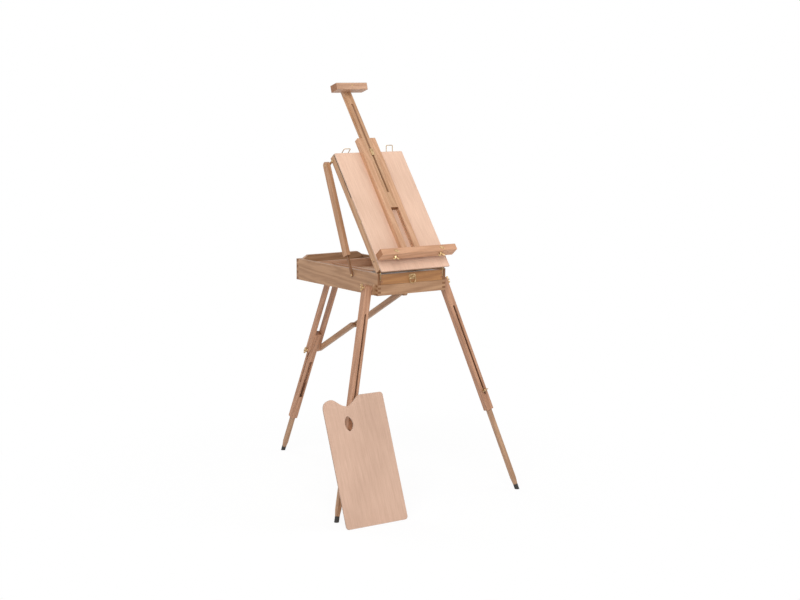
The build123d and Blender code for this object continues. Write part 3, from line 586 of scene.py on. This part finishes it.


# Painted shade: a dark strip set into the slot at each side of the lid, behind the board's face,
# darkens the slot as its shade would.
ready()
bpy.ops.mesh.primitive_cube_add(size=1)
slot_shade_strip = bpy.context.object
slot_shade_strip.scale = (slot_shade_width, slot_shade_depth, slot_shade_end - slot_shade_start)
ready(slot_shade_strip)
bpy.ops.object.transform_apply(location=False, rotation=False, scale=True)
worked(slot_shade_strip, "BEVEL", width=slot_shade_round, segments=3)
slot_shade_finish = painted_slot_shade("slot_shade_finish")
slot_shade_turn = Matrix((Vector((1, 0, 0)), -lid_out, lid_up)).transposed().to_4x4()
slot_shade_out = lid_half - slot_shade_sunk - slot_shade_width / 2
slot_shade_middle = (slot_shade_start + slot_shade_end) / 2
for side, name in ((1, "right"), (-1, "left")):
    slot_shade_at = on_lid(side * slot_shade_out, slot_shade_middle, -slot_shade_front - slot_shade_depth / 2)
    place = Matrix.Translation(slot_shade_at) @ slot_shade_turn
    set_in(slot_shade_strip, "slot_shade_piece_" + name, place, "lid", slot_shade_finish, "rubber")
    for row, shift in enumerate((-strap_screw_shift, strap_screw_shift)):
        behind = strap_screw_back + row * strap_screw_step
        screw_at = on_lid(side * (lid_half + strap_proud), stay_head_along + shift, -behind)
        place = standing(screw_at, (side, 0, 0), lid_up)
        set_brass(small_screw, f"strap_screw_{name}_{row}", place, "lid")
put_away(slot_shade_strip)


# The left bar's fittings: a small brass catch near the board's edge, with its end turned up.
# Low on the bar's outer face stand a brass pin and a countersunk screw head painted near-black as
# the shade of its hole.
catch_along = 0.2130
catch_back = 0.0070
catch_length = 0.0110
catch_width = 0.0060
catch_thickness = 0.0011
pin_along = 0.0660
pin_back = 0.0290
pin_radius = 0.0028
hole_shade_along = 0.0540
hole_shade_back = 0.0210
hole_shade_radius = 0.0030
hole_shade_height = 0.0006
# Painted shade: these dark metal colours give the screw head beside the pin the darkness of the
# hole it sits in.
hole_shade_bright = "#6a543a"
hole_shade_dull = "#3a2c1f"
hole_shade_smooth = 0.45
bar_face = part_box("lid_side_bars")[0].x


def on_bar(along, back, proud=0.0):
    """A point of the left bar's outer face: how far up the lid and how far behind the board."""
    spot = on_lid(0, along, -back)
    spot.x = bar_face - proud
    return spot


ready()
bpy.ops.mesh.primitive_cube_add(size=1, location=(0, 0, catch_thickness / 2))
catch = bpy.context.object
catch.scale = (catch_length, catch_width, catch_thickness)
ready(catch)
bpy.ops.object.transform_apply(location=True, rotation=False, scale=True)
bpy.ops.object.mode_set(mode="EDIT")
pick(catch, lambda face: face.normal.x > 0.9)
bpy.ops.mesh.extrude_region_move(TRANSFORM_OT_translate={"value": (0.2 * catch_length, 0, 0)})
pick(catch, lambda face: face.normal.z > 0.9 and face.calc_center_median().x > 0.5 * catch_length)
bpy.ops.mesh.extrude_region_move(TRANSFORM_OT_translate={"value": (0, 0, catch_thickness)})
bpy.ops.object.mode_set(mode="OBJECT")
worked(catch, "BEVEL", width=0.25 * catch_thickness, segments=3, limit_method="ANGLE")
place = standing(on_bar(catch_along, catch_back), (-1, 0, 0), lid_up)
set_brass(catch, "palette_catch", place, "lid")
place = standing(on_bar(catch_along, catch_back, catch_thickness), (-1, 0, 0), lid_out)
set_brass(small_screw, "palette_catch_screw", place, "lid")

pin = slotted_head(pin_radius, pin_radius)
place = standing(on_bar(pin_along, pin_back), (-1, 0, 0), lid_up)
set_brass(pin, "lid_pin", place, "lid")

# Painted shade: the dark screw head stands in for the shaded hole beside the pin.
painted_hole_shade = metal("painted_hole_shade", hole_shade_bright, hole_shade_dull, hole_shade_smooth)
hole_shade_screw = slotted_head(hole_shade_radius, hole_shade_height)
place = standing(on_bar(hole_shade_along, hole_shade_back), (-1, 0, 0), lid_out)
set_in(hole_shade_screw, "lid_hole_shade_screw", place, "lid", painted_hole_shade, "brass")
put_away(catch, pin, hole_shade_screw)


# The mast: a slotted beech bar that slides between the guide rails, with a cross block on top.
# A brass bolt with a long plate goes through its slot, and a wing nut behind the board clamps it.
mast_pale = "#c39d7c"
mast_deep = "#a67c5a"
clamp_pale = "#bf9b80"
clamp_deep = "#a57d62"

dress(timber("mast_beech", mast_pale, mast_deep, lid_up, shift=0.51), "mast")
dress(timber("top_clamp_beech", clamp_pale, clamp_deep, (1, 0, 0), shift=0.62), "top_clamp")
dress(brass, "mast_clamp_bolt")

clamp_pitch = radians(20)
clamp_corner = (0.769, 0.012)
clamp_front = 0.048
clamp_screw_up = 0.0155
clamp_screw_radius = 0.0034
clamp_screw_height = 0.0013
clamp_slot_way = (1, 0.4, 0.3)
mast_screw = slotted_head(clamp_screw_radius, clamp_screw_height)
clamp_tall = lid_up * cos(clamp_pitch) + lid_out * sin(clamp_pitch)
clamp_deep_way = lid_out * cos(clamp_pitch) - lid_up * sin(clamp_pitch)
clamp_screw_at = on_lid(0, *clamp_corner)
clamp_screw_at += clamp_tall * clamp_screw_up + clamp_deep_way * clamp_front
place = standing(clamp_screw_at, clamp_deep_way, clamp_slot_way)
set_brass(mast_screw, "top_clamp_screw", place, "mast")
put_away(mast_screw)

hub_radius = 0.0058
hub_height = 0.0080
hub_narrow = 0.74
flange_height = 0.0012
ear_radius = 0.0046
ear_out = 0.0089
ear_up = 0.0094
ear_thickness = 0.0026
ear_root = 0.0025
cast_voxel = 0.00034
cast_rubs = 5
cast_kept = 0.30
fastener_height = 0.0140
shank_radius = 0.0030
shank_sunk = 0.0005
shank_chamfer = 0.0005


def wing_casting():
    """A cast wing nut: a round hub drawn in towards its top, with two lobed ears."""
    ready()
    bpy.ops.mesh.primitive_cylinder_add(
        vertices=48, radius=hub_radius, depth=flange_height, location=(0, 0, flange_height / 2)
    )
    hub = bpy.context.object
    bpy.ops.object.mode_set(mode="EDIT")
    pick(hub, lambda face: face.normal.z > 0.9)
    bpy.ops.mesh.inset(thickness=0.08 * hub_radius)
    hub_rise = hub_height - flange_height
    bpy.ops.mesh.extrude_region_move(TRANSFORM_OT_translate={"value": (0, 0, hub_rise)})
    bpy.ops.transform.resize(value=(hub_narrow, hub_narrow, 1))
    bpy.ops.object.mode_set(mode="OBJECT")
    ears = []
    for side in (1, -1):
        ready()
        bpy.ops.mesh.primitive_cylinder_add(
            vertices=40,
            radius=ear_radius,
            depth=ear_thickness,
            location=(side * ear_out, 0, ear_up),
            rotation=(pi / 2, 0, 0),
        )
        lobe = bpy.context.object
        bpy.ops.mesh.primitive_cylinder_add(
            vertices=24,
            radius=ear_root,
            depth=1.5 * ear_thickness,
            location=(side * ear_root, 0, hub_height / 2),
            rotation=(pi / 2, 0, 0),
        )
        ready(lobe, bpy.context.object)
        bpy.ops.object.join()
        bpy.ops.object.mode_set(mode="EDIT")
        bpy.ops.mesh.select_all(action="SELECT")
        bpy.ops.mesh.convex_hull()
        bpy.ops.object.mode_set(mode="OBJECT")
        limits = {"limit_method": "ANGLE", "angle_limit": radians(60)}
        worked(lobe, "BEVEL", width=0.3 * ear_thickness, segments=3, **limits)
        ears.append(lobe)
    ready(hub, *ears)
    bpy.ops.object.join()
    worked(hub, "REMESH", mode="VOXEL", voxel_size=cast_voxel)
    worked(hub, "SMOOTH", factor=0.5, iterations=cast_rubs)
    worked(hub, "DECIMATE", ratio=cast_kept)
    ready(hub)
    bpy.ops.object.shade_smooth_by_angle(angle=radians(50))
    return hub


def add_shank(casting, length):
    """The same casting made a wing screw, with a plain end to its shank."""
    ready()
    middle = (0, 0, shank_sunk - length / 2)
    bpy.ops.mesh.primitive_cylinder_add(
        vertices=32, radius=shank_radius, depth=length, location=middle
    )
    shank = bpy.context.object
    worked(shank, "BEVEL", width=shank_chamfer, segments=2, limit_method="ANGLE")
    screw = bpy.data.objects.new("wing_screw", casting.data.copy())
    bpy.context.scene.collection.objects.link(screw)
    ready(screw, shank)
    bpy.ops.object.join()
    return screw


def fastener_place(node, joint):
    """Where a wing nut or screw sits on its joint's axis, with its ears turned as they rest."""
    on_axis = pivot_of(joint)
    axis = axis_of(joint)
    points = [v.co - on_axis for v in frame["nodes"][node].data.vertices]
    tip = max(points, key=lambda p: (p - axis * p.dot(axis)).length)
    reach = [p.dot(axis) for p in points]
    if tip.dot(axis) < (min(reach) + max(reach)) / 2:
        axis = -axis
        reach = [-r for r in reach]
    seat = on_axis + axis * (max(reach) - fastener_height)
    return standing(seat, axis, tip)


wing_nut = wing_casting()
place = fastener_place("mast_wing_nut", "mast_nut_turn")
set_brass(wing_nut, "cast_mast_nut", place, "mast_nut", "mast_wing_nut")


# The ledge: a square-edged beech bar on the guide rails that holds the foot of a canvas.
# Two wing screws underneath press on the rails and hold it at its height.
ledge_pale = "#cd9f7f"
ledge_deep = "#b28463"

dress(timber("ledge_beech", ledge_pale, ledge_deep, (1, 0, 0), shift=0.73), "ledge")
ledge_shank = 0.0118
ledge_front = 0.0596
ledge_plate_along = 0.0455
ledge_plate_length = 0.0210
ledge_plate_height = 0.0088
ledge_plate_thickness = 0.0012
ledge_plate_lean = radians(-24)
ledge_plate_round = 0.0003
ledge_screw_radius = 0.0032
ledge_screw_height = 0.0014

wing_screw = add_shank(wing_nut, ledge_shank)
ready()
bpy.ops.mesh.primitive_cylinder_add(vertices=48, radius=0.5, depth=1)
oval = bpy.context.object
oval.scale = (ledge_plate_length, ledge_plate_height, ledge_plate_thickness)
ready(oval)
bpy.ops.object.transform_apply(location=False, rotation=False, scale=True)
bpy.ops.object.mode_set(mode="EDIT")
pick(oval, lambda face: face.normal.z > 0.9)
bpy.ops.mesh.inset(thickness=0.14 * ledge_plate_height)
bpy.ops.transform.translate(value=(0, 0, 0.3 * ledge_plate_thickness))
bpy.ops.object.mode_set(mode="OBJECT")
worked(oval, "BEVEL", width=ledge_plate_round, segments=2, limit_method="ANGLE")
plate_screw = slotted_head(ledge_screw_radius, ledge_screw_height)
plate_way = Vector((cos(ledge_plate_lean), 0, 0)) + lid_up * sin(ledge_plate_lean)
for name in ("right", "left"):
    node, joint = "ledge_wing_screw_" + name, "ledge_screw_turn_" + name
    place = fastener_place(node, joint)
    set_brass(wing_screw, "cast_ledge_screw_" + name, place, "ledge_screw_" + name, node)
    plate_at = on_lid(pivot_of(joint).x, ledge_plate_along, ledge_front)
    place = standing(plate_at + lid_out * ledge_plate_thickness / 2, lid_out, plate_way)
    set_brass(oval, "ledge_plate_" + name, place, "ledge")
    place = standing(plate_at + lid_out * ledge_plate_thickness, lid_out, lid_up)
    set_brass(plate_screw, "ledge_plate_screw_" + name, place, "ledge")
put_away(oval, plate_screw, wing_screw)


# Hasps: brass wire loops in barrels on the top edge of the lid.
# They drop over catches behind the fence and hold the closed box.
dress(brass, "hasp_barrels", "hasp_right", "hasp_left", "hasp_catches")


# The stays: beech arms with a groove that slides over a thin bar of darker wood at each side.
# The bar turns on a brass screw in the side wall, and the arm hangs from a strap behind the lid.
stay_pale = "#b98f70"
stay_deep = "#97704f"
bar_wood_pale = "#8a6243"
bar_wood_deep = "#6b492f"
stay_up = axis_of("stay_arm_slide_right")
stay_beech = timber("stay_beech", stay_pale, stay_deep, stay_up, shift=0.15)
dress(stay_beech, "stay_arm_right", "stay_arm_left")
stay_bar_wood = timber("stay_bar_wood", bar_wood_pale, bar_wood_deep, stay_up, shift=0.22)
dress(stay_bar_wood, "stay_bar_right", "stay_bar_left")

stay_head_behind = 0.0571
rivet_radius = 0.0044
rivet_height = 0.0018
rivet_steps = ((0.88, 0.22), (0.78, 0.16), (0.62, 0.12))
stay_screw_rise = 0.0016
ready()
bpy.ops.mesh.primitive_cylinder_add(
    vertices=40, radius=rivet_radius, depth=rivet_height / 2, location=(0, 0, rivet_height / 4)
)
rivet = bpy.context.object
bpy.ops.object.mode_set(mode="EDIT")
pick(rivet, lambda face: face.normal.z > 0.9)
for share, step in rivet_steps:
    bpy.ops.mesh.extrude_region_move(TRANSFORM_OT_translate={"value": (0, 0, step * rivet_height)})
    bpy.ops.transform.resize(value=(share, share, 1))
bpy.ops.object.mode_set(mode="OBJECT")
ready(rivet)
bpy.ops.object.shade_smooth_by_angle(angle=radians(50))

screw_low, screw_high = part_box("stay_screws")
foot_screw = slotted_head(rivet_radius, stay_screw_rise)
screw_middle = (screw_low + screw_high) / 2
for side, name in ((1, "right"), (-1, "left")):
    arm_low, arm_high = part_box("stay_arm_" + name)
    head_at = on_lid(0, stay_head_along, -stay_head_behind)
    head_at.x = arm_high.x if side > 0 else arm_low.x
    place = standing(head_at, (side, 0, 0), (0, 1, 0))
    set_brass(rivet, "stay_rivet_" + name, place, "stay_arm_" + name)
    foot_at = (side * (screw_high.x - stay_screw_rise), screw_middle.y, screw_middle.z)
    place = standing(foot_at, (side, 0, 0), (0, 1, 1))
    set_brass(foot_screw, "stay_foot_screw_" + name, place, "box")
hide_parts("stay_screws")
put_away(rivet, foot_screw)


# The front legs: square beech tubes on splayed wedge blocks, each slotted down its front.
# A square rod slides inside each and is held by a brass wing screw, and a rubber tip ends it.
leg_pale = "#b88c6f"
leg_deep = "#956c52"
rod_pale = "#b08d6f"
rod_deep = "#937157"
rubber_dark = "#1b1a19"
rubber_dusty = "#383532"
dust_per_metre = 240.0
skin_per_metre = 1800.0
skin_depth = 0.0002


def rubber(name):
    """Black moulded rubber, matt with a dusty bloom."""
    material, tree, shader = new_finish(name)
    bloom = noise(tree, own_place(tree), dust_per_metre, 5.0)
    skin = noise(tree, own_place(tree), skin_per_metre, 2.0)
    bump = add_node(tree, "Bump", {"Height": skin, "Strength": 0.2, "Distance": skin_depth})
    plug(
        tree,
        shader,
        {
            "Base Color": ramp(tree, bloom, 0.35, 0.75, paint(rubber_dark), paint(rubber_dusty)),
            "Roughness": ramp(tree, bloom, 0.3, 0.7, grey(0.6), grey(0.85)),
            "Normal": bump.outputs[0],
        },
    )
    return material


black_rubber = rubber("black_rubber")
wedge_beech = timber("wedge_beech", wall_pale, wall_deep, (0, 0, 1), shift=0.21)
dress(wedge_beech, "leg_wedges", "pivot_blocks")
for side in ("right", "left"):
    leg_down = axis_of("front_rod_slide_" + side)
    leg_beech = timber("front_leg_beech_" + side, leg_pale, leg_deep, leg_down, shift=0.33)
    rod_beech = timber("front_rod_beech_" + side, rod_pale, rod_deep, leg_down, shift=0.47)
    dress(leg_beech, "front_leg_" + side)
    dress(rod_beech, "front_rod_" + side)
dress(brass, "pivot_bolts")

foot_radius = 0.0084
foot_length = 0.0198
foot_sunk = 0.0090
foot_ridges = 4
foot_flare = 1.05
foot_start = 0.97
foot_round = 0.0004
foot_cut_tolerance = 0.000001
rod_shank = 0.0138


def rubber_foot(name, pivot, down, body, node):
    """A moulded rubber tip: a ring drawn up the rod in ridges and cut flat at the floor."""
    ready()
    start_radius = foot_radius * foot_start
    bpy.ops.mesh.primitive_circle_add(vertices=48, radius=start_radius, fill_type="NGON")
    tip = bpy.context.object
    tip.name = name
    bpy.ops.object.mode_set(mode="EDIT")
    bpy.ops.mesh.select_all(action="SELECT")
    ridge = (foot_length + foot_sunk) / (3 * foot_ridges)
    for _ in range(foot_ridges):
        for share in (foot_flare, 1.0, 1 / foot_flare):
            bpy.ops.mesh.extrude_region_move(TRANSFORM_OT_translate={"value": (0, 0, ridge)})
            bpy.ops.transform.resize(value=(share, share, 1))
    bpy.ops.mesh.select_all(action="SELECT")
    bpy.ops.mesh.normals_make_consistent(inside=False)
    bpy.ops.object.mode_set(mode="OBJECT")
    limits = {"limit_method": "ANGLE", "angle_limit": radians(25)}
    worked(tip, "BEVEL", width=foot_round, segments=2, **limits)
    on_floor = pivot - down * (pivot.z / down.z)
    tip.data.transform(standing(on_floor + down * foot_sunk, -down, (1, 0, 0)))
    ready(tip)
    bpy.ops.object.mode_set(mode="EDIT")
    bpy.ops.mesh.select_all(action="SELECT")
    bpy.ops.mesh.bisect(
        plane_co=(0, 0, 0),
        plane_no=(0, 0, 1),
        use_fill=True,
        clear_inner=True,
        threshold=foot_cut_tolerance,
    )
    bpy.ops.object.mode_set(mode="OBJECT")
    bpy.ops.object.shade_smooth_by_angle(angle=radians(35))
    tip.data.materials.clear()
    tip.data.materials.append(black_rubber)
    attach(tip, body)
    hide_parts(node)


rod_screw = add_shank(wing_nut, rod_shank)
for side in ("right", "left"):
    node = "leg_wing_nut_" + side
    place = fastener_place(node, "leg_nut_turn_" + side)
    set_brass(wing_nut, "cast_leg_nut_" + side, place, "leg_nut_" + side, node)
    node = "rod_wing_screw_" + side
    place = fastener_place(node, "rod_screw_turn_" + side)
    set_brass(rod_screw, "cast_rod_screw_" + side, place, "rod_screw_" + side, node)
    leg_pivot = pivot_of("front_leg_fold_" + side)
    leg_down = axis_of("front_rod_slide_" + side)
    body, node = "front_rod_" + side, "front_foot_" + side
    rubber_foot("rubber_tip_" + side, leg_pivot, leg_down, body, node)
put_away(rod_screw)


# The rear leg: two rails astride a block under the box, with a slotted section between them.
# A bolt with a wing nut clamps the rails, and a rod with a rubber tip slides in the section.
rear_down = axis_of("rear_rod_slide")
rear_leg_beech = timber("rear_leg_beech", leg_pale, leg_deep, rear_down, shift=0.56)
dress(rear_leg_beech, "rear_rails", "rear_section")
dress(timber("rear_rod_beech", rod_pale, rod_deep, rear_down, shift=0.66), "rear_rod")
dress(brass, "rear_clamp_bolt")
rubber_foot("rubber_tip_rear", pivot_of("rear_leg_fold"), rear_down, "rear_rod", "rear_foot")
place = fastener_place("rear_wing_nut", "rear_nut_turn")
set_brass(wing_nut, "cast_rear_nut", place, "rear_nut", "rear_wing_nut")
put_away(wing_nut, small_screw)


# The brace: two flat beech links that meet at a brass bolt and keep the rear leg from sliding out.
# The upper one hangs from a block under the box, the lower one from the rear leg's clamp bolt.
brace_along = pivot_of("rear_nut_turn") - pivot_of("brace_upper_swing")
brace_beech = timber("brace_beech", rod_pale, rod_deep, brace_along, shift=0.77)
dress(brace_beech, "brace_upper", "brace_lower")
dress(brass, "brace_knee_bolt")


# The palette: a sheet of sealed plywood with a wavy top and a thumb hole, tilted to the left leg.
# Its veneer runs lengthwise and is a shade pinker than the beech of the easel.
palette_pale = "#c6a793"
palette_deep = "#b59581"
palette_layer = 0.0014
palette_low, palette_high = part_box("palette")
palette_up = Vector((0, palette_high.y - palette_low.y, palette_high.z - palette_low.z))
palette_out = Vector((0, -palette_up.z, palette_up.y))
palette_ply = plywood(
    "palette_ply", palette_pale, palette_deep, palette_up, palette_out, palette_layer
)
dress(palette_ply, "palette")
